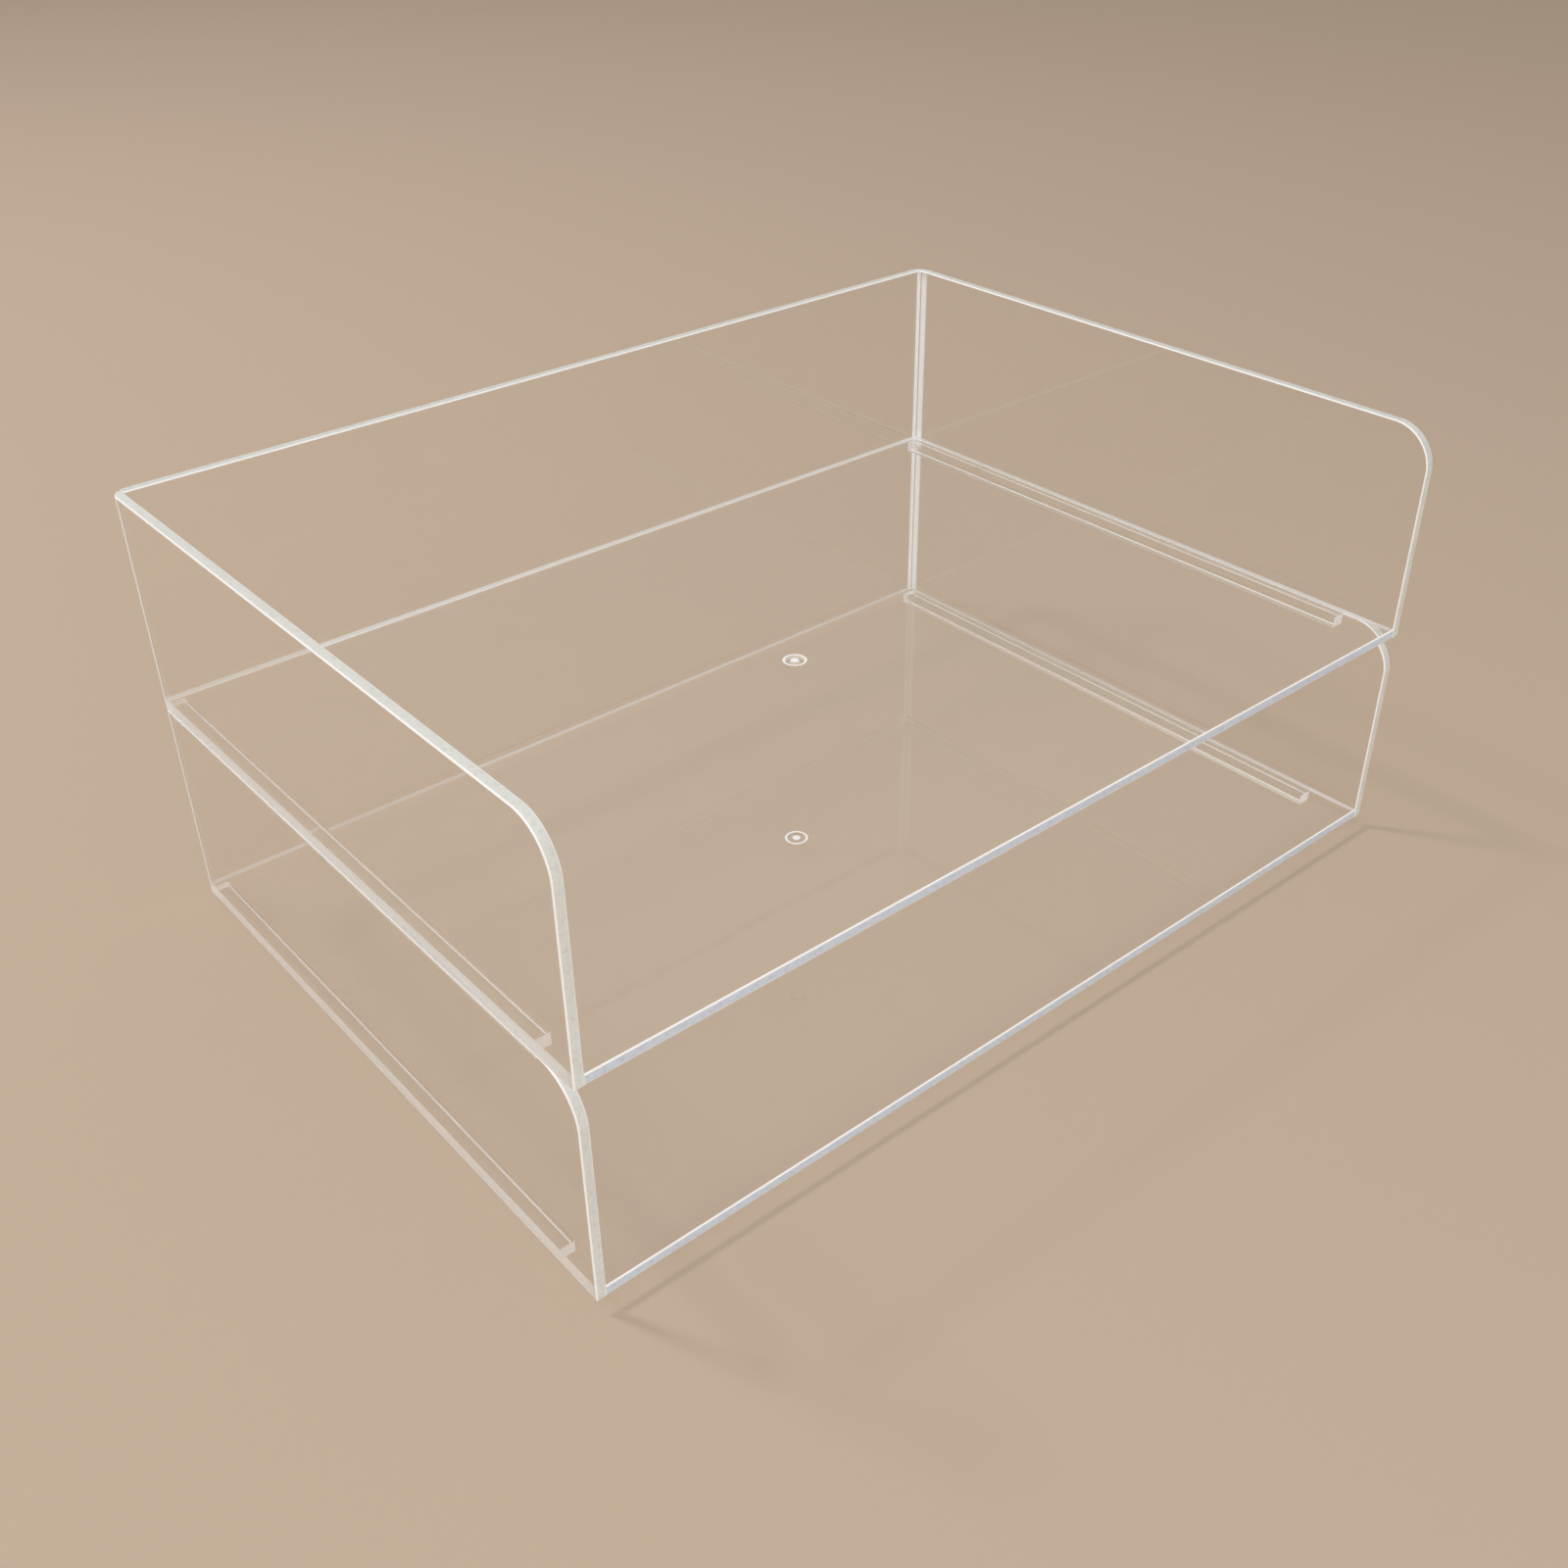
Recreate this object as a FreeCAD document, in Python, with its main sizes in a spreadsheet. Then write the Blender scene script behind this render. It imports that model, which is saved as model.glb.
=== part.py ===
# Clear stacking letter trays, two high. All lengths are in millimetres.
# X runs along the open front, Y towards the back wall, Z up. The origin is
# the centre of the footprint, in the plane that the lower rails stand on.
import FreeCAD
import Part
import Sketcher
import math
import os

LENGTHS = {
    "tray_width": 330.0,
    "tray_depth": 231.0,
    "wall_height": 72.0,
    "wall_thickness": 3.2,
    "floor_thickness": 3.2,
    "front_corner_radius": 14.0,
    "back_corner_radius": 5.5,
    "edge_break": 0.4,
    "rail_height": 4.0,
    "rail_width": 5.0,
    "rail_setback": 19.0,
    "rail_side_clearance": 0.3,
    "rail_back_clearance": 1.5,
    "mark_diameter": 8.0,
    "mark_spot_diameter": 2.8,
    "mark_depth": 0.6,
}

# Each tray, and how many wall heights its floor stands above the lowest one.
TRAYS = (("lower", 0), ("upper", 1))

# The two sides of a tray, and the sign of X there.
SIDES = (("left", -1), ("right", 1))

# Formulas that several pieces share.
FLOOR_HALF_WIDTH = "(sizes.tray_width / 2 - sizes.wall_thickness)"
BEND_X = "(sizes.tray_width / 2 - sizes.back_corner_radius)"
BEND_Y = "(sizes.tray_depth / 2 - sizes.back_corner_radius)"
HALF_DEPTH = "sizes.tray_depth / 2"

# The points of a sketch line or arc, and the origin of a sketch.
START, END, CENTRE = 1, 2, 3
ORIGIN = (-1, 1)

# Two coordinates this close are the same.
CLOSE = 0.0001

doc = FreeCAD.newDocument("letter_tray_stack")
sheet = doc.addObject("Spreadsheet::Sheet", "sizes")
for row, (name, length) in enumerate(LENGTHS.items(), start=1):
    sheet.set("A%d" % row, name)
    sheet.set("B%d" % row, str(length))
    sheet.setAlias("B%d" % row, name)
doc.recompute()

half_width = sheet.tray_width / 2
half_depth = sheet.tray_depth / 2
floor_half_width = half_width - sheet.wall_thickness
floor_back = half_depth - sheet.wall_thickness
bend_x = half_width - sheet.back_corner_radius
bend_y = half_depth - sheet.back_corner_radius

# The outline's rounded back corner passes from the side wall to the back wall
# at this angle, and at this distance behind the bend's centre.
joint_angle = math.acos((floor_half_width - bend_x) / sheet.back_corner_radius)
joint_y = bend_y + sheet.back_corner_radius * math.sin(joint_angle)


def new_body(node, level):
    """A body whose own zero height is the underside of its tray's floor."""
    body = doc.addObject("PartDesign::Body", node)
    body.Label = node
    height = "sizes.rail_height + %d * sizes.wall_height" % level
    body.setExpression("Placement.Base.z", height)
    return body


def new_sketch(body, purpose):
    sketch = body.newObject("Sketcher::SketchObject", body.Label + "_" + purpose)
    planes = body.Origin.OriginFeatures
    level_plane = next(plane for plane in planes if plane.Role == "XY_Plane")
    sketch.AttachmentSupport = [(level_plane, "")]
    sketch.MapMode = "FlatFace"
    return sketch


def new_feature(kind, body, purpose):
    return body.newObject("PartDesign::" + kind, body.Label + "_" + purpose)


def add_line(sketch, start, end):
    line = Part.LineSegment(FreeCAD.Vector(*start, 0), FreeCAD.Vector(*end, 0))
    return sketch.addGeometry(line, False)


def add_bend(sketch, centre, first_angle, last_angle):
    """An arc of the outline's back corner, counted anticlockwise."""
    normal = FreeCAD.Vector(0, 0, 1)
    middle = FreeCAD.Vector(*centre, 0)
    circle = Part.Circle(middle, normal, sheet.back_corner_radius)
    arc = Part.ArcOfCircle(circle, first_angle, last_angle)
    return sketch.addGeometry(arc, False)


def join(sketch, first, second):
    sketch.addConstraint(Sketcher.Constraint("Coincident", *first, *second))


def tie(sketch, direction, first, second, formula):
    """Drives the distance from the first point on to the second."""
    span = sketch.getPoint(*second) - sketch.getPoint(*first)
    length = span.x if direction == "DistanceX" else span.y
    constraint = Sketcher.Constraint(direction, *first, *second, length)
    number = sketch.addConstraint(constraint)
    sketch.setExpression("Constraints[%d]" % number, formula)


def tie_side(sketch, sign, point, formula):
    """Drives a point's distance from the middle, to the left or the right."""
    first, second = (ORIGIN, point) if sign > 0 else (point, ORIGIN)
    tie(sketch, "DistanceX", first, second, formula)


def add_rectangle(sketch, low, high):
    """Four lines: front, right, back and left."""
    corners = [low, (high[0], low[1]), high, (low[0], high[1])]
    lines = []
    for start, end in zip(corners, corners[1:] + corners[:1]):
        lines.append(add_line(sketch, start, end))
    for line, following in zip(lines, lines[1:] + lines[:1]):
        join(sketch, (line, END), (following, START))
    for line, direction in zip(lines, ("Horizontal", "Vertical") * 2):
        sketch.addConstraint(Sketcher.Constraint(direction, line))
    return lines


def shared(points, axis):
    """The coordinate that all the points have, or None if they differ."""
    values = [getattr(point, axis) for point in points]
    return values[0] if max(values) - min(values) < CLOSE else None


def same(value, wanted):
    return value is not None and abs(value - wanted) < CLOSE


def edges_where(feature, wanted):
    """Names of a feature's edges that the test accepts by their x, y and z."""
    names = []
    for number, edge in enumerate(feature.Shape.Edges, start=1):
        low, high = edge.FirstParameter, edge.LastParameter
        points = [edge.valueAt(at) for at in (low, (low + high) / 2, high)]
        if wanted(*(shared(points, axis) for axis in "xyz")):
            names.append("Edge%d" % number)
    return names


def break_edges(body, base, wanted):
    doc.recompute()
    chamfer = new_feature("Chamfer", body, "edge_break")
    chamfer.Base = (base, edges_where(base, wanted))
    chamfer.setExpression("Size", "sizes.edge_break")


def make_floor(tray, level):
    body = new_body(tray + "_floor_plate", level)
    outline = new_sketch(body, "outline")
    low = (-floor_half_width, -half_depth)
    high = (floor_half_width, floor_back)
    front, right, back, left = add_rectangle(outline, low, high)
    tie_side(outline, 1, (right, START), FLOOR_HALF_WIDTH)
    tie_side(outline, -1, (left, END), FLOOR_HALF_WIDTH)
    tie(outline, "DistanceY", (front, START), ORIGIN, HALF_DEPTH)
    floor_back_formula = HALF_DEPTH + " - sizes.wall_thickness"
    tie(outline, "DistanceY", ORIGIN, (back, START), floor_back_formula)
    plate = new_feature("Pad", body, "plate")
    plate.Profile = outline
    plate.setExpression("Length", "sizes.floor_thickness")

    # A shallow ring in the middle of the upper face, round a small spot.
    ring = new_sketch(body, "ring")
    ring.setExpression("AttachmentOffset.Base.z", "sizes.floor_thickness")
    for diameter in ("mark_diameter", "mark_spot_diameter"):
        middle, normal = FreeCAD.Vector(0, 0, 0), FreeCAD.Vector(0, 0, 1)
        circle = Part.Circle(middle, normal, sheet.get(diameter) / 2)
        curve = ring.addGeometry(circle, False)
        join(ring, (curve, CENTRE), ORIGIN)
        across = Sketcher.Constraint("Diameter", curve, sheet.get(diameter))
        number = ring.addConstraint(across)
        ring.setExpression("Constraints[%d]" % number, "sizes." + diameter)
    mark = new_feature("Pocket", body, "mark")
    mark.Profile = ring
    mark.setExpression("Length", "sizes.mark_depth")
    doc.recompute()
    if mark.Shape.Volume >= plate.Shape.Volume:
        raise RuntimeError("the centre mark cuts nothing from " + body.Label)

    def is_front_edge(x, y, z):
        return x is None and z is not None and same(y, -half_depth)

    break_edges(body, mark, is_front_edge)
    return body


def make_side_wall(tray, level, side, sign):
    body = new_body("%s_%s_wall" % (tray, side), level)
    plan = new_sketch(body, "plan")
    outer, inner = sign * half_width, sign * floor_half_width
    front = add_line(plan, (inner, -half_depth), (outer, -half_depth))
    outside = add_line(plan, (outer, -half_depth), (outer, bend_y))
    inside = add_line(plan, (inner, -half_depth), (inner, joint_y))
    if sign > 0:
        bend = add_bend(plan, (bend_x, bend_y), 0, joint_angle)
        bend_outer, bend_inner = (bend, START), (bend, END)
    else:
        bend = add_bend(plan, (-bend_x, bend_y), math.pi - joint_angle, math.pi)
        bend_outer, bend_inner = (bend, END), (bend, START)
    join(plan, (front, START), (inside, START))
    join(plan, (front, END), (outside, START))
    join(plan, (outside, END), bend_outer)
    join(plan, (inside, END), bend_inner)
    plan.addConstraint(Sketcher.Constraint("Horizontal", front))
    plan.addConstraint(Sketcher.Constraint("Vertical", outside))
    plan.addConstraint(Sketcher.Constraint("Vertical", inside))
    tie_side(plan, sign, (outside, START), "sizes.tray_width / 2")
    tie_side(plan, sign, (inside, START), FLOOR_HALF_WIDTH)
    tie_side(plan, sign, (bend, CENTRE), BEND_X)
    tie(plan, "DistanceY", (front, START), ORIGIN, HALF_DEPTH)
    tie(plan, "DistanceY", ORIGIN, (bend, CENTRE), BEND_Y)
    tie(plan, "DistanceY", ORIGIN, (outside, END), BEND_Y)
    sheet_piece = new_feature("Pad", body, "sheet")
    sheet_piece.Profile = plan
    sheet_piece.setExpression("Length", "sizes.wall_height")
    doc.recompute()

    # The front top corner is rounded, so that a hand finds the paper.
    def is_corner(x, y, z):
        return same(y, -half_depth) and same(z, sheet.wall_height)

    corner = new_feature("Fillet", body, "front_corner")
    corner.Base = (sheet_piece, edges_where(sheet_piece, is_corner))
    corner.setExpression("Radius", "sizes.front_corner_radius")

    # The long rim on both faces: up the front, round the corner, to the back.
    def is_rim(x, y, z):
        across = y is not None and z is not None
        at_back = x is not None and y is not None and y > 0
        return not (across or at_back or same(z, 0))

    break_edges(body, corner, is_rim)
    return body


def make_back_wall(tray, level):
    body = new_body(tray + "_back_wall", level)
    plan = new_sketch(body, "plan")
    low, high = (-floor_half_width, floor_back), (floor_half_width, floor_back)
    inside = add_line(plan, low, high)
    outside = add_line(plan, (-bend_x, half_depth), (bend_x, half_depth))
    for line in (inside, outside):
        plan.addConstraint(Sketcher.Constraint("Horizontal", line))
    quarter = math.pi / 2
    for sign, line_end in ((-1, START), (1, END)):
        x = sign * floor_half_width
        joint = add_line(plan, (x, floor_back), (x, joint_y))
        centre = (sign * bend_x, bend_y)
        if sign > 0:
            bend = add_bend(plan, centre, joint_angle, quarter)
            bend_joint, bend_back = (bend, START), (bend, END)
        else:
            bend = add_bend(plan, centre, quarter, math.pi - joint_angle)
            bend_joint, bend_back = (bend, END), (bend, START)
        join(plan, (joint, START), (inside, line_end))
        join(plan, (joint, END), bend_joint)
        join(plan, bend_back, (outside, line_end))
        plan.addConstraint(Sketcher.Constraint("Vertical", joint))
        tie_side(plan, sign, (joint, START), FLOOR_HALF_WIDTH)
        tie_side(plan, sign, (bend, CENTRE), BEND_X)
        tie(plan, "DistanceY", ORIGIN, (bend, CENTRE), BEND_Y)
        tie_side(plan, sign, (outside, line_end), BEND_X)
    tie(plan, "DistanceY", ORIGIN, (outside, START), HALF_DEPTH)
    tie(plan, "DistanceY", (inside, START), (outside, START), "sizes.wall_thickness")
    sheet_piece = new_feature("Pad", body, "sheet")
    sheet_piece.Profile = plan
    sheet_piece.setExpression("Length", "sizes.wall_height")

    def is_top_edge(x, y, z):
        return x is None and same(z, sheet.wall_height)

    break_edges(body, sheet_piece, is_top_edge)
    return body


def make_rail(tray, level, side, sign):
    body = new_body("%s_%s_rail" % (tray, side), level)
    plan = new_sketch(body, "plan")
    near_wall = floor_half_width - sheet.rail_side_clearance
    far_side = near_wall - sheet.rail_width
    first_x, last_x = sorted((sign * near_wall, sign * far_side))
    front_y = -half_depth + sheet.rail_setback
    back_y = floor_back - sheet.rail_back_clearance
    low, high = (first_x, front_y), (last_x, back_y)
    front, right, back, left = add_rectangle(plan, low, high)
    near, far = (right, left) if sign > 0 else (left, right)
    near_formula = FLOOR_HALF_WIDTH + " - sizes.rail_side_clearance"
    tie_side(plan, sign, (near, START), near_formula)
    tie_side(plan, sign, (far, START), near_formula + " - sizes.rail_width")
    front_formula = HALF_DEPTH + " - sizes.rail_setback"
    tie(plan, "DistanceY", (front, START), ORIGIN, front_formula)
    back_formula = HALF_DEPTH + " - sizes.wall_thickness - sizes.rail_back_clearance"
    tie(plan, "DistanceY", ORIGIN, (back, START), back_formula)
    strip = new_feature("Pad", body, "strip")
    strip.Profile = plan
    strip.Reversed = True
    strip.setExpression("Length", "sizes.rail_height")

    def is_foot_edge(x, y, z):
        return same(z, -sheet.rail_height)

    break_edges(body, strip, is_foot_edge)
    return body


pieces = []
for tray, level in TRAYS:
    pieces.append(make_floor(tray, level))
    pieces.append(make_back_wall(tray, level))
    for side, sign in SIDES:
        pieces.append(make_side_wall(tray, level, side, sign))
        pieces.append(make_rail(tray, level, side, sign))
doc.recompute()

for item in doc.Objects:
    if "Invalid" in item.State or "Error" in item.State:
        raise RuntimeError("%s did not build: %s" % (item.Label, item.State))
for piece in pieces:
    if piece.Shape.isNull() or not piece.Shape.isValid():
        raise RuntimeError(piece.Label + " has no valid shape")
    if len(piece.Shape.Solids) != 1:
        raise RuntimeError(piece.Label + " is not one solid")

os.makedirs("parts", exist_ok=True)
for piece in pieces:
    piece.Shape.exportStep("parts/%s.step" % piece.Label)
    box = piece.Shape.BoundBox
    print(piece.Label, len(piece.Shape.Faces), "faces,", "x %.2f to %.2f" % (box.XMin, box.XMax),
          "y %.2f to %.2f" % (box.YMin, box.YMax), "z %.2f to %.2f" % (box.ZMin, box.ZMax))
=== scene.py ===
"""Clear acrylic letter trays, two high: their visible pieces, finish and studio."""

import math

import bmesh
import bpy
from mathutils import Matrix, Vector


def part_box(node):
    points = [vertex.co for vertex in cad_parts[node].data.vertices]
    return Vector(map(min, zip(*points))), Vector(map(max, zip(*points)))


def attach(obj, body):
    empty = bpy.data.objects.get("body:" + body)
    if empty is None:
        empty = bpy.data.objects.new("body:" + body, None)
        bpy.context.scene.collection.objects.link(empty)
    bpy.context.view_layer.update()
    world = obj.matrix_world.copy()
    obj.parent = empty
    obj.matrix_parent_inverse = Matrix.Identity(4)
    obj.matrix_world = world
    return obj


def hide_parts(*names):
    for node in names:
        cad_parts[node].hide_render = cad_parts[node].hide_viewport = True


bl_info = {
    "name": "Clear Letter Trays",
    "version": (1, 0, 0),
    "blender": (4, 5, 0),
    "location": "View3D > Sidebar > Letter Trays",
    "description": "Two clear open-fronted letter trays standing one on the other",
    "category": "Object",
}

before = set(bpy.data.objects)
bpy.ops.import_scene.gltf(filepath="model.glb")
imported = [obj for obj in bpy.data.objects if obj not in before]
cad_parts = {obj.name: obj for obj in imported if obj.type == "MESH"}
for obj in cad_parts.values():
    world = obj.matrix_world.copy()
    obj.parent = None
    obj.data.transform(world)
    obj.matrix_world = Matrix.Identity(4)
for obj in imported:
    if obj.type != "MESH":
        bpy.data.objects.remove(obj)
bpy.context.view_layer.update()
TRAYS = ("lower", "upper")
SIDES = (("left", -1), ("right", 1))

# Each finish of a piece's faces: its name, its colour and shadow among the
# finish settings, its roughness, its clearness, and how dark its spots are.
FINISHES = (
    ("clear_face", "face_colour", "face_shadow", 0.0, 1.0, 0.0),
    # cut_rim: pale rims, partly the frosted cut, partly painted light carried
    # inside the sheet.
    ("cut_rim", "edge_colour", "edge_shadow", 0.2, 0.15, 0.12),
    # bright_line: painted highlight on rounded strips, and the white of the cement
    # lines.
    ("bright_line", "highlight_and_cement_colour", "joint_shadow", 0.15, 0.08, 0.0),
    # front_rim: bluish painted reflection over a pale cut edge, partly painted
    # light.
    ("front_rim", "front_reflection_colour", "edge_shadow", 0.12, 0.18, 0.15),
    ("cemented_face", "highlight_and_cement_colour", "joint_shadow", 0.1, 0.35, 0.0),
)
CLEAR, RIM, LINE, FRONT, JOINT = range(len(FINISHES))

# How far apart, in metres, two places may lie and still count as one: on a
# straight line, on a rounded corner, and on such a corner once it is cut.
SAME = 1e-6
SAME_BEND = 1e-5
SAME_CUT_BEND = 4e-5

# In metres: how near a point lies to a cut to be on it, how near two points
# lie to be merged, and how far a cutting tool stands out of the piece.
SAW_REACH = 1e-7
MERGE_REACH = 2e-6
OVERRUN = 0.01

# How many flats make up each rounding.
RIM_STEPS = 3
BACK_STEPS = 10
FRONT_STEPS = 18
MARK_STEPS = 64
GROOVE_STEPS = 40

# Shares of the edge rounding, for the walls' outer foot and the rails.
FOOT_SHARE = 0.8
RAIL_SHARE = 0.6

# How much of a face's unit normal lies along an axis: a face square on to the
# axis has more than SQUARE, and one that stands along it less than SLIGHT.
SQUARE = 0.985
SLIGHT = 0.1

# Between these parts along Y, a line of light stands in a back corner.
GLOW_START = 0.05
GLOW_END = 0.45

# Faces that meet at less than this angle are shaded as one surface, and the
# large ones keep their own normals by this weight.
SMOOTH_TURN = math.radians(32)
FLAT_WEIGHT = 100

# The axes' places in a point.
Y, Z = 1, 2

# The parts of a noise pattern over which the polish grows duller, the
# roughness that this adds, and the parts over which a cut rim's spots fade.
SMEAR_RANGE = (0.45, 0.8)
SMEAR_ROUGHNESS = 0.03
SPOT_RANGE = (0.3, 0.52)

# Light caught inside a sheet is let out after this many steps. A reflection
# is one step, and the weight adds two more to it.
CAUGHT_STEPS = 8.5
TURN_WEIGHT = 2.0

# How much of a direction points up where the room starts to grow brighter
# above the horizon, and where it is brightest.
ROOM_RANGE = (0.1, 0.6)

# Each lamp's name, place, width in metres and power in watts, and the point
# that the lamps face.
LAMPS = (
    ("key_lamp", (-0.75, 1.25, 2.0), 0.35, 23.0),
    ("fill_lamp", (-1.2, -1.8, 1.1), 1.8, 28.0),
)
LAMP_AIM = (0, 0, 0.05)

CAMERA_PLACE = (-0.30879, -0.36479, 0.34644)
CAMERA_TURN = (56.586, 0.667, -40.203)
SENSOR_WIDTH = 36.0
NEAR_CLIP = 0.01
FLOOR_WIDTH = 16


def length(name, description, metres):
    return bpy.props.FloatProperty(
        name=name, description=description, default=metres, unit="LENGTH"
    )


def colour(name, description, red, green, blue):
    return bpy.props.FloatVectorProperty(
        name=name,
        description=description,
        subtype="COLOR",
        size=4,
        default=(red, green, blue, 1.0),
    )


def number(name, description, value):
    return bpy.props.FloatProperty(
        name=name, description=description, default=value
    )


class TraySizes(bpy.types.PropertyGroup):
    front_radius: length(
        "Front corner radius",
        "Rounding of each side wall's front top corner",
        0.014,
    )
    back_radius: length(
        "Back corner radius",
        "Rounding of the upright back corners, on the outside",
        0.0055,
    )
    edge_round: length(
        "Edge rounding",
        "Radius of the flame-polished rims",
        0.0004,
    )
    weld: length(
        "Cement overlap",
        "How far cemented sheets reach into each other",
        0.00005,
    )
    rest_gap: length(
        "Resting gap",
        "Air between the upper tray and the walls it stands on",
        0.00006,
    )
    bead: length(
        "Cement bead",
        "Width of the cement line inside each upright corner",
        0.0005,
    )
    mark_radius: length(
        "Centre mark radius",
        "Rim of the round mark in each floor",
        0.004,
    )
    # The lip's white, like the spot's, is a painted highlight.
    mark_lip: length(
        "Centre mark lip",
        "Width of the shallow white lip around the groove",
        0.0008,
    )
    mark_spot: length(
        "Centre spot radius",
        "Radius of the spot that stands inside the groove",
        0.0014,
    )
    mark_depth: length(
        "Centre mark depth",
        "Depth of the round groove in each floor",
        0.0006,
    )
    mark_skim: length(
        "Centre mark skim",
        "How far the lip and the spot lie below the floor's face",
        0.00005,
    )


class AcrylicFinish(bpy.types.PropertyGroup):
    face_colour: colour(
        "Face colour",
        "What the polished faces let through",
        0.988, 0.986, 0.982,
    )
    # The cut rims' pale colour is partly their frosted cut and partly painted
    # light, standing in for light carried inside the sheet to its edges.
    edge_colour: colour(
        "Edge colour",
        "Pale body colour of the cut rims",
        0.76, 0.785, 0.755,
    )
    # The bluish tint of the floors' front edges is a painted reflection of cool
    # surroundings, over a pale cut edge that is partly painted light.
    front_reflection_colour: colour(
        "Front edge colour",
        "Cooler body colour of the floors' front edges",
        0.66, 0.75, 0.88,
    )
    # This white is a painted highlight on the narrow rounded strips, and the cement
    # lines' own colour.
    highlight_and_cement_colour: colour(
        "Line colour",
        "White of the narrow rounded strips and cement lines",
        0.97, 0.975, 0.985,
    )
    face_shadow: colour(
        "Face shadow",
        "Lamp light left after one face",
        0.985, 0.987, 0.987,
    )
    edge_shadow: colour(
        "Edge shadow",
        "Lamp light left after one rim",
        0.45, 0.455, 0.455,
    )
    joint_shadow: colour(
        "Joint shadow",
        "Lamp light left after one cemented joint or rounded strip",
        0.8, 0.8, 0.81,
    )
    bending: number(
        "Refractive index",
        "How strongly the acrylic bends light",
        1.49,
    )
    smear_scale: number(
        "Handling mark scale",
        "Scale of the patches where the polish is duller",
        14.0,
    )
    smear_detail: number(
        "Handling mark detail",
        "Detail of those patches",
        5.0,
    )
    spot_scale: number(
        "Spot scale",
        "Scale of the fine spots along a cut rim",
        700.0,
    )
    spot_detail: number(
        "Spot detail",
        "Detail of those spots",
        8.0,
    )


class Studio(bpy.types.PropertyGroup):
    floor_drop: length(
        "Floor drop",
        "Air between the floor and the rails that stand on it",
        0.00005,
    )
    floor_colour: colour(
        "Floor colour",
        "Plain warm floor",
        0.53, 0.415, 0.315,
    )
    floor_roughness: number(
        "Floor roughness",
        "How matt the floor is",
        0.85,
    )
    floor_gloss: number(
        "Floor gloss",
        "How strongly the floor mirrors",
        0.2,
    )
    sky_colour: colour(
        "Soft light colour",
        "Even light from all around",
        1.0, 0.98, 0.95,
    )
    sky_strength: number(
        "Soft light strength",
        "Strength of the even light",
        0.5,
    )
    far_colour: colour(
        "Far colour",
        "The room beyond the floor, near the horizon",
        0.283, 0.224, 0.17,
    )
    room_colour: colour(
        "Room colour",
        "What the polished faces mirror from overhead",
        0.7, 0.6, 0.5,
    )
    lens: number(
        "Lens",
        "Focal length on a frame 36 mm wide",
        38.76,
    )


def clear_selection():
    if bpy.context.object and bpy.context.object.mode != "OBJECT":
        bpy.ops.object.mode_set(mode="OBJECT")
    bpy.ops.object.select_all(action="DESELECT")


def make_active(piece):
    clear_selection()
    piece.select_set(True)
    bpy.context.view_layer.objects.active = piece


def fix_place(name=None):
    """Puts the newest object's place into its mesh, and names it."""
    piece = bpy.context.object
    if name:
        piece.name = piece.data.name = name
    bpy.ops.object.transform_apply(location=True, rotation=True, scale=True)
    return piece


def block(name, low, high):
    """A cube stretched between two corners."""
    clear_selection()
    low, high = Vector(low), Vector(high)
    bpy.ops.mesh.primitive_cube_add(
        size=1, location=(low + high) / 2, scale=high - low
    )
    return fix_place(name)


def copy_of(piece, name):
    make_active(piece)
    bpy.ops.object.duplicate()
    twin = bpy.context.object
    twin.name = twin.data.name = name
    return twin


def remove(piece):
    make_active(piece)
    bpy.ops.object.delete()


def edit_all(piece):
    """Opens a piece's mesh with all of it selected."""
    make_active(piece)
    bpy.ops.object.mode_set(mode="EDIT")
    bpy.ops.mesh.select_all(action="SELECT")


def round_edges(piece, wanted, radius, steps):
    """Bevels the edges whose two ends the test accepts."""
    make_active(piece)
    bpy.ops.object.mode_set(mode="EDIT")
    bpy.ops.mesh.select_mode(type="EDGE")
    bpy.ops.mesh.select_all(action="DESELECT")
    mesh = bmesh.from_edit_mesh(piece.data)
    for edge in mesh.edges:
        edge.select_set(wanted(edge.verts[0].co, edge.verts[1].co))
    bmesh.update_edit_mesh(piece.data)
    bpy.ops.mesh.bevel(
        offset=radius,
        offset_type="OFFSET",
        segments=steps,
        profile=0.5,
        affect="EDGES",
        clamp_overlap=False,
    )
    bpy.ops.object.mode_set(mode="OBJECT")


def cut_at(piece, x, keep_right):
    """Saws a piece across at x and keeps one side of it, closed again."""
    edit_all(piece)
    bpy.ops.mesh.bisect(
        plane_co=(x, 0, 0),
        plane_no=(1, 0, 0),
        use_fill=True,
        clear_inner=keep_right,
        clear_outer=not keep_right,
        threshold=SAW_REACH,
    )
    bpy.ops.object.mode_set(mode="OBJECT")


def divide_at(piece, y):
    """Divides a piece's faces across at y, without cutting it apart."""
    edit_all(piece)
    bpy.ops.mesh.bisect(
        plane_co=(0, y, 0), plane_no=(0, 1, 0), threshold=SAW_REACH
    )
    bpy.ops.object.mode_set(mode="OBJECT")


def join_doubles(piece):
    """Merges the points that two roundings leave on the same spot."""
    edit_all(piece)
    bpy.ops.mesh.remove_doubles(threshold=MERGE_REACH)
    bpy.ops.object.mode_set(mode="OBJECT")


def carve(piece, tool):
    """Takes the tool's shape out of a piece, and removes the tool."""
    make_active(piece)
    cut = piece.modifiers.new("cut", "BOOLEAN")
    cut.operation = "DIFFERENCE"
    cut.solver = "EXACT"
    cut.object = tool
    bpy.ops.object.modifier_apply(modifier=cut.name)
    remove(tool)


def near(value, wanted, slack=SAME):
    return abs(value - wanted) < slack


def both_at(a, b, axis, wanted):
    """Whether both ends of an edge lie at one place along an axis."""
    return near(a[axis], wanted) and near(b[axis], wanted)


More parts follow.
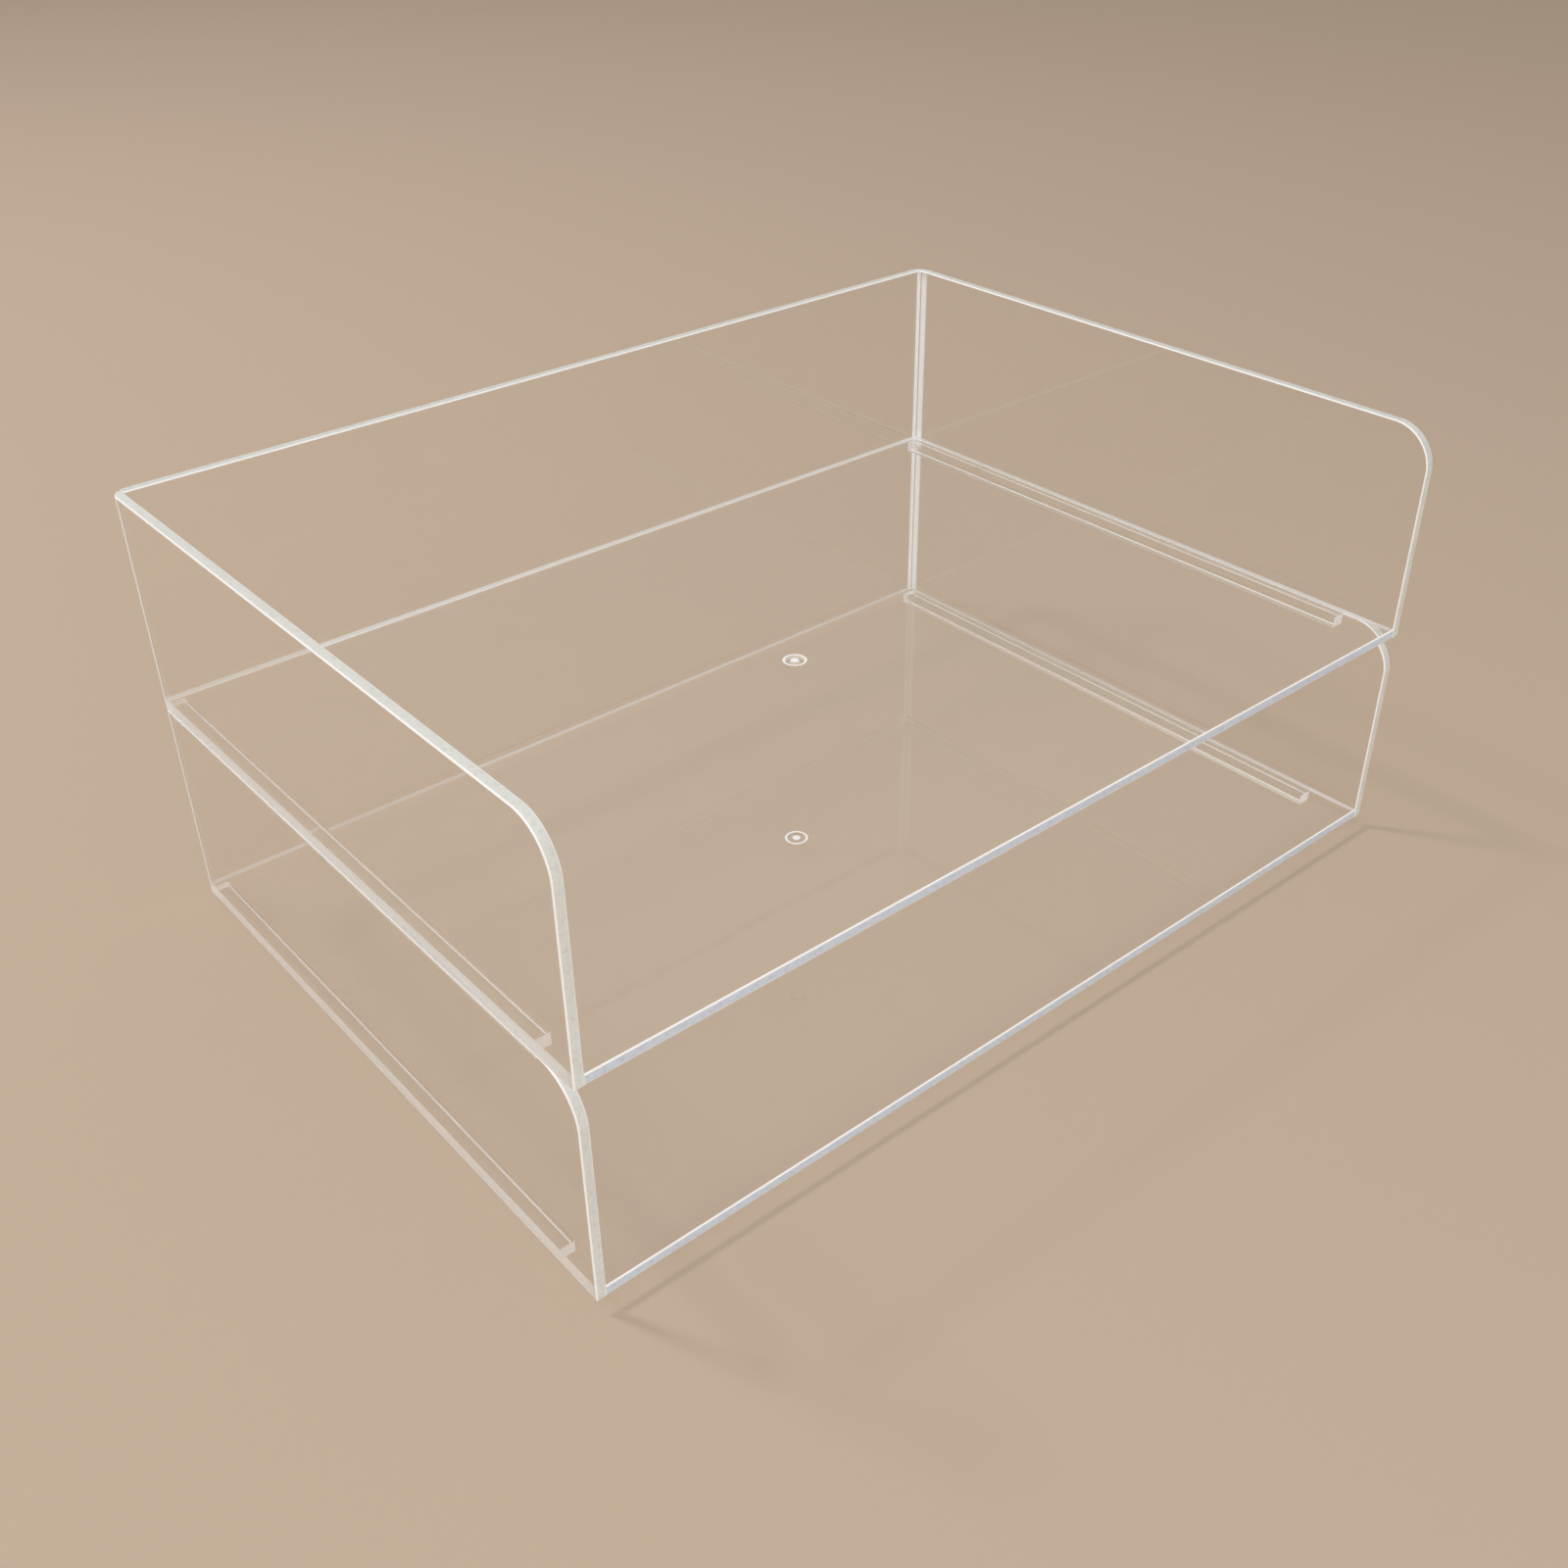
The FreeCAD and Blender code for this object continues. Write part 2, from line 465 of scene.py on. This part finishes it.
def add_noise(tree, scale, detail):
    """A fine pattern fixed to the piece; gives its output."""
    place = tree.nodes.new("ShaderNodeTexCoord")
    noise = tree.nodes.new("ShaderNodeTexNoise")
    noise.inputs["Scale"].default_value = scale
    noise.inputs["Detail"].default_value = detail
    tree.links.new(place.outputs["Object"], noise.inputs["Vector"])
    return noise.outputs["Fac"]


def add_range(tree, value, wide, narrow=(0.0, 1.0)):
    """Spreads the values of one range over another; gives its output."""
    spread = tree.nodes.new("ShaderNodeMapRange")
    ends = ("From Min", "From Max", "To Min", "To Max")
    for end, place in zip(ends, (*wide, *narrow)):
        spread.inputs[end].default_value = place
    tree.links.new(value, spread.inputs["Value"])
    return spread.outputs["Result"]


def add_math(tree, operation, *terms):
    """A Math node over numbers and other nodes' outputs; gives its output."""
    node = tree.nodes.new("ShaderNodeMath")
    node.operation = operation
    for socket, term in zip(node.inputs, terms):
        if isinstance(term, float):
            socket.default_value = term
        else:
            tree.links.new(term, socket)
    return node.outputs[0]


def acrylic(name, tone, shadow, roughness, clearness, spots):
    """Acrylic that lets lamp light through; spots darken a cut rim."""
    look = bpy.context.scene.acrylic_finish
    material = bpy.data.materials.new(name)
    material.use_nodes = True
    tree = material.node_tree
    nodes, links = tree.nodes, tree.links
    nodes.clear()
    output = nodes.new("ShaderNodeOutputMaterial")
    body = nodes.new("ShaderNodeBsdfPrincipled")
    body.inputs["Base Color"].default_value = tone
    body.inputs["IOR"].default_value = look.bending
    body.inputs["Transmission Weight"].default_value = clearness

    # Faint handling marks: the polish is a little duller in patches.
    smears = add_noise(tree, look.smear_scale, look.smear_detail)
    dull = roughness + SMEAR_ROUGHNESS
    polish = add_range(tree, smears, SMEAR_RANGE, (roughness, dull))
    links.new(polish, body.inputs["Roughness"])

    # Saw and polish leave fine spots along a cut rim.
    if spots:
        ramp = nodes.new("ShaderNodeValToRGB")
        dark, plain = ramp.color_ramp.elements
        dark.position, plain.position = SPOT_RANGE
        dark.color = [part * (1 - spots) for part in tone[:3]] + [1]
        plain.color = tone
        grain = add_noise(tree, look.spot_scale, look.spot_detail)
        links.new(grain, ramp.inputs["Fac"])
        links.new(ramp.outputs["Color"], body.inputs["Base Color"])

    film = nodes.new("ShaderNodeBsdfTransparent")
    film.inputs["Color"].default_value = shadow
    ray = nodes.new("ShaderNodeLightPath").outputs
    thin = ray["Is Shadow Ray"]
    if clearness == 1.0:
        # Soft light passes as lamp light does, and so does light that has
        # turned back and forth between the two faces of a sheet.
        turns, steps = ray["Glossy Depth"], ray["Ray Depth"]
        steps = add_math(tree, "MULTIPLY_ADD", turns, TURN_WEIGHT, steps)
        caught = add_math(tree, "GREATER_THAN", steps, CAUGHT_STEPS)
        soft = add_math(tree, "MAXIMUM", caught, ray["Is Diffuse Ray"])
        thin = add_math(tree, "MAXIMUM", soft, thin)
    mix = nodes.new("ShaderNodeMixShader")
    links.new(thin, mix.inputs["Fac"])
    links.new(body.outputs["BSDF"], mix.inputs[1])
    links.new(film.outputs["BSDF"], mix.inputs[2])
    links.new(mix.outputs["Shader"], output.inputs["Surface"])
    return material


def sheet_materials():
    """The finishes of the sheet, made once, in the order of the slots."""
    look = bpy.context.scene.acrylic_finish
    for name, tone, shadow, roughness, clearness, spots in FINISHES:
        if name not in bpy.data.materials:
            tones = getattr(look, tone), getattr(look, shadow)
            acrylic(name, *tones, roughness, clearness, spots)
    return [bpy.data.materials[row[0]] for row in FINISHES]


def finish_piece(piece, node, body, finish_of):
    """Gives a finished piece its materials and its place in the assembly."""
    join_doubles(piece)
    piece.data.materials.clear()
    for material in sheet_materials():
        piece.data.materials.append(material)
    for polygon in piece.data.polygons:
        polygon.material_index = finish_of(polygon.center, polygon.normal)
    make_active(piece)
    bpy.ops.object.shade_smooth_by_angle(angle=SMOOTH_TURN)

    # The large flat faces keep their own normals; only the rims are rounded.
    even = piece.modifiers.new("even", "WEIGHTED_NORMAL")
    even.mode = "FACE_AREA"
    even.weight = FLAT_WEIGHT
    even.keep_sharp = True
    bpy.ops.object.modifier_apply(modifier=even.name)
    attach(piece, body)
    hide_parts(node)


class TRAY_OT_floor_plates(bpy.types.Operator):
    """Make the two floor plates, each with its round centre mark"""

    bl_idname = "letter_tray.floor_plates"
    bl_label = "Floor plates"

    def execute(self, context):
        sizes = context.scene.tray_sizes
        for tray in TRAYS:
            node = tray + "_floor_plate"
            low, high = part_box(node)
            front, top = low.y, high.z
            low.x -= sizes.weld
            high.x += sizes.weld
            high.y += sizes.weld
            plate = block(tray + "_floor_sheet", low, high)

            def is_front(a, b):
                return both_at(a, b, Y, front) and near(a.z, b.z)

            round_edges(plate, is_front, sizes.edge_round, RIM_STEPS)
            self.centre_mark(plate, top)

            def finish_of(centre, normal):
                at_front = centre.y < front + sizes.edge_round
                # The front face takes the bluish front finish, a painted
                # reflection; its rounded strips take the white finish, a painted
                # highlight.
                if at_front and normal.y < -SLIGHT:
                    return FRONT if normal.y < -SQUARE else LINE
                if near(abs(centre.x), high.x, SAME_BEND):
                    return JOINT
                if near(centre.y, high.y, SAME_BEND):
                    return JOINT
                # The skimmed lip and spot of the centre mark take the white finish,
                # a painted highlight.
                skimmed = near(centre.z, top - sizes.mark_skim)
                return LINE if skimmed and normal.z > SQUARE else CLEAR

            finish_piece(plate, node, tray + "_tray", finish_of)
        return {"FINISHED"}

    def centre_mark(self, plate, top):
        """Skims a round spot in the floor's face and cuts a groove in it."""
        sizes = bpy.context.scene.tray_sizes
        clear_selection()
        bpy.ops.mesh.primitive_cylinder_add(
            vertices=MARK_STEPS,
            radius=sizes.mark_radius,
            depth=OVERRUN,
            location=(0, 0, top + OVERRUN / 2 - sizes.mark_skim),
        )
        carve(plate, fix_place())

        # A round-nosed cutter as wide as the groove at the skimmed face.
        outer = sizes.mark_radius - sizes.mark_lip
        inner = sizes.mark_spot
        half = (outer - inner) / 2
        depth = sizes.mark_depth - sizes.mark_skim
        nose = (half * half + depth * depth) / (2 * depth)
        clear_selection()
        bpy.ops.mesh.primitive_torus_add(
            location=(0, 0, top - sizes.mark_depth + nose),
            major_radius=(outer + inner) / 2,
            minor_radius=nose,
            major_segments=MARK_STEPS,
            minor_segments=GROOVE_STEPS,
        )
        carve(plate, fix_place())


class TRAY_OT_walls(bpy.types.Operator):
    """Make the side walls and back walls from one bent outline per tray"""

    bl_idname = "letter_tray.walls"
    bl_label = "Walls"

    def execute(self, context):
        sizes = context.scene.tray_sizes
        for tray in TRAYS:
            low, left_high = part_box(tray + "_left_wall")
            right_low, right_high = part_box(tray + "_right_wall")
            back_low, back_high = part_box(tray + "_back_wall")
            top = left_high.z - (sizes.rest_gap if tray == "lower" else 0)
            high = Vector((right_high.x, back_high.y, top))
            inner = right_low.x
            shell = block(tray + "_shell", low, high)

            def is_back_corner(a, b):
                upright = near(a.x, b.x) and near(a.y, b.y)
                return upright and near(a.y, high.y)

            round_edges(shell, is_back_corner, sizes.back_radius, BACK_STEPS)
            room = block(
                "room",
                (-inner, low.y - OVERRUN, low.z - OVERRUN),
                (inner, back_low.y, high.z + OVERRUN),
            )
            carve(shell, room)

            for side, sign in SIDES:
                wall = copy_of(shell, "%s_%s_sheet" % (tray, side))
                cut_at(wall, sign * (inner - sizes.weld), sign > 0)
                divide_at(wall, back_low.y - sizes.bead)
                node = "%s_%s_wall" % (tray, side)
                self.finish_side(wall, tray, node, low, high, back_low.y)
            back = copy_of(shell, tray + "_back_sheet")
            cut_at(back, inner - sizes.weld / 2, False)
            cut_at(back, -(inner - sizes.weld / 2), True)
            self.finish_back(back, tray, low, high)
            remove(shell)
        return {"FINISHED"}

    def round_foot(self, wall, low, high):
        """Rounds the outer bottom edge, around the back corners too."""
        sizes = bpy.context.scene.tray_sizes
        bend = sizes.back_radius

        def on_outside(point):
            across = abs(point.x) - (high.x - bend)
            along = point.y - (high.y - bend)
            if across > 0 and along > 0:
                return near(math.hypot(across, along), bend, SAME_CUT_BEND)
            return near(across, bend) or near(along, bend)

        def is_foot_line(a, b):
            return both_at(a, b, Z, low.z) and on_outside(a) and on_outside(b)

        round_edges(
            wall, is_foot_line, sizes.edge_round * FOOT_SHARE, RIM_STEPS
        )

    def finish_back(self, wall, tray, low, high):
        sizes = bpy.context.scene.tray_sizes

        def is_top(a, b):
            return both_at(a, b, Z, high.z) and not near(a.x, b.x)

        round_edges(wall, is_top, sizes.edge_round, RIM_STEPS)
        self.round_foot(wall, low, high)

        def finish_of(centre, normal):
            # The top rim takes the cut finish, partly painted light; the rounded
            # strips take the white finish, a painted highlight; the ends that meet
            # the side walls take it as cement.
            if normal.z > SQUARE:
                return RIM
            flat = normal.z < -SQUARE or abs(normal.z) < SLIGHT
            return CLEAR if flat and abs(normal.x) < SQUARE else LINE

        finish_piece(wall, tray + "_back_wall", tray + "_tray", finish_of)

    def finish_side(self, wall, tray, node, low, high, back):
        sizes = bpy.context.scene.tray_sizes
        radius = sizes.front_radius
        inside = min(abs(corner[0]) for corner in wall.bound_box)
        inside += 2 * sizes.weld

        def is_front_corner(a, b):
            return both_at(a, b, Y, low.y) and both_at(a, b, Z, high.z)

        round_edges(wall, is_front_corner, radius, FRONT_STEPS)

        def on_outline(point):
            """On the front edge, the rounded corner or the top edge."""
            y = low.y + radius - point.y
            z = point.z - (high.z - radius)
            if y > 0 and z > 0 and near(math.hypot(y, z), radius, SAME_BEND):
                return True
            return near(point.y, low.y) or near(point.z, high.z)

        def is_rim_line(a, b):
            across = near(a.y, b.y) and near(a.z, b.z)
            foot = both_at(a, b, Z, low.z)
            return on_outline(a) and on_outline(b) and not across and not foot

        round_edges(wall, is_rim_line, sizes.edge_round, RIM_STEPS)
        self.round_foot(wall, low, high)

        def finish_of(centre, normal):
            if centre.y > back - sizes.bead and abs(centre.x) < inside:
                return LINE
            # A line of light stands in each rounded back corner.
            if normal.y > GLOW_START and abs(normal.z) < SLIGHT:
                return LINE if normal.y < GLOW_END else CLEAR
            if abs(normal.x) > SQUARE or normal.z < -SQUARE:
                return CLEAR
            # Flat rims take the cut finish, partly painted light; their rounded
            # strips take the white finish, a painted highlight.
            return RIM if abs(normal.x) < SLIGHT else LINE

        finish_piece(wall, node, tray + "_tray", finish_of)


class TRAY_OT_rails(bpy.types.Operator):
    """Make the four square rails under the floors"""

    bl_idname = "letter_tray.rails"
    bl_label = "Rails"

    def execute(self, context):
        sizes = context.scene.tray_sizes
        for tray in TRAYS:
            for side, _ in SIDES:
                node = "%s_%s_rail" % (tray, side)
                low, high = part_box(node)
                foot = low.z
                high.z += sizes.weld
                rail = block("%s_%s_strip" % (tray, side), low, high)

                def is_foot(a, b):
                    return both_at(a, b, Z, foot)

                radius = sizes.edge_round * RAIL_SHARE
                round_edges(rail, is_foot, radius, RIM_STEPS)

                def finish_of(centre, normal):
                    # The rounded foot strips take the white finish, a painted
                    # highlight.
                    flat = max(abs(normal.x), abs(normal.z)) > SQUARE
                    return CLEAR if flat else LINE

                finish_piece(rail, node, tray + "_tray", finish_of)
        return {"FINISHED"}


class TRAY_OT_studio(bpy.types.Operator):
    """Make the floor, the soft light and the camera"""

    bl_idname = "letter_tray.studio"
    bl_label = "Studio"

    def execute(self, context):
        self.floor(context)
        self.world(context)
        for lamp in LAMPS:
            self.lamp(*lamp)
        self.camera(context)
        context.scene.view_settings.view_transform = "Standard"
        return {"FINISHED"}

    def floor(self, context):
        studio = context.scene.tray_studio
        drop = studio.floor_drop
        clear_selection()
        bpy.ops.mesh.primitive_plane_add(
            size=FLOOR_WIDTH, location=(0, 0, -drop)
        )
        floor = fix_place("studio_floor")
        material = bpy.data.materials.new("studio_floor")
        material.use_nodes = True
        body = material.node_tree.nodes["Principled BSDF"].inputs
        body["Base Color"].default_value = studio.floor_colour
        body["Roughness"].default_value = studio.floor_roughness
        body["Specular IOR Level"].default_value = studio.floor_gloss
        floor.data.materials.append(material)

    def world(self, context):
        """Even light, and the plain room that the acrylic mirrors."""
        studio = context.scene.tray_studio
        world = bpy.data.worlds.new("studio_world")
        context.scene.world = world
        world.use_nodes = True
        tree = world.node_tree
        nodes, links = tree.nodes, tree.links
        nodes.clear()
        output = nodes.new("ShaderNodeOutputWorld")
        light = nodes.new("ShaderNodeBackground")
        light.inputs["Color"].default_value = studio.sky_colour
        light.inputs["Strength"].default_value = studio.sky_strength

        # Seen directly, or through the acrylic, the room is as dark as the
        # far floor near the horizon and brighter overhead.
        place = nodes.new("ShaderNodeTexCoord")
        split = nodes.new("ShaderNodeSeparateXYZ")
        links.new(place.outputs["Generated"], split.inputs["Vector"])
        tone = nodes.new("ShaderNodeMix")
        tone.data_type = "RGBA"
        tone.inputs["A"].default_value = studio.far_colour
        tone.inputs["B"].default_value = studio.room_colour
        height = add_range(tree, split.outputs["Z"], ROOM_RANGE)
        links.new(height, tone.inputs["Factor"])
        room = nodes.new("ShaderNodeBackground")
        links.new(tone.outputs["Result"], room.inputs["Color"])

        ray = nodes.new("ShaderNodeLightPath").outputs
        seen = add_math(
            tree, "MAXIMUM", ray["Is Camera Ray"], ray["Is Glossy Ray"]
        )
        seen = add_math(tree, "MAXIMUM", seen, ray["Is Transmission Ray"])
        mix = nodes.new("ShaderNodeMixShader")
        links.new(seen, mix.inputs["Fac"])
        links.new(light.outputs["Background"], mix.inputs[1])
        links.new(room.outputs["Background"], mix.inputs[2])
        links.new(mix.outputs["Shader"], output.inputs["Surface"])

    def lamp(self, name, place, width, power):
        clear_selection()
        bpy.ops.object.light_add(type="AREA", location=place)
        lamp = bpy.context.object
        lamp.name = lamp.data.name = name
        lamp.data.shape = "DISK"
        lamp.data.size = width
        lamp.data.energy = power
        # The polished faces mirror the plain room, without bright discs.
        lamp.visible_glossy = lamp.visible_transmission = False
        aim = Vector(LAMP_AIM) - Vector(place)
        lamp.rotation_euler = aim.to_track_quat("-Z", "Y").to_euler()

    def camera(self, context):
        clear_selection()
        turn = [math.radians(degrees) for degrees in CAMERA_TURN]
        bpy.ops.object.camera_add(location=CAMERA_PLACE, rotation=turn)
        camera = context.object
        camera.name = camera.data.name = "studio_camera"
        camera.data.lens = context.scene.tray_studio.lens
        camera.data.sensor_width = SENSOR_WIDTH
        camera.data.clip_start = NEAR_CLIP
        context.scene.camera = camera


class TRAY_PT_panel(bpy.types.Panel):
    """Lists the steps that make the trays"""

    bl_idname = "TRAY_PT_panel"
    bl_label = "Letter Trays"
    bl_space_type = "VIEW_3D"
    bl_region_type = "UI"
    bl_category = "Letter Trays"

    def draw(self, context):
        for step in STEPS:
            self.layout.operator(step.bl_idname)


STEPS = (
    TRAY_OT_floor_plates,
    TRAY_OT_walls,
    TRAY_OT_rails,
    TRAY_OT_studio,
)
GROUPS = (
    ("tray_sizes", TraySizes),
    ("acrylic_finish", AcrylicFinish),
    ("tray_studio", Studio),
)


def register():
    for name, group in GROUPS:
        bpy.utils.register_class(group)
        setattr(bpy.types.Scene, name, bpy.props.PointerProperty(type=group))
    for step in STEPS:
        bpy.utils.register_class(step)
    bpy.utils.register_class(TRAY_PT_panel)


def unregister():
    bpy.utils.unregister_class(TRAY_PT_panel)
    for step in reversed(STEPS):
        bpy.utils.unregister_class(step)
    for name, group in reversed(GROUPS):
        delattr(bpy.types.Scene, name)
        bpy.utils.unregister_class(group)


def main():
    register()
    bpy.ops.letter_tray.floor_plates()
    bpy.ops.letter_tray.walls()
    bpy.ops.letter_tray.rails()
    bpy.ops.letter_tray.studio()


if __name__ == "__main__":
    main()
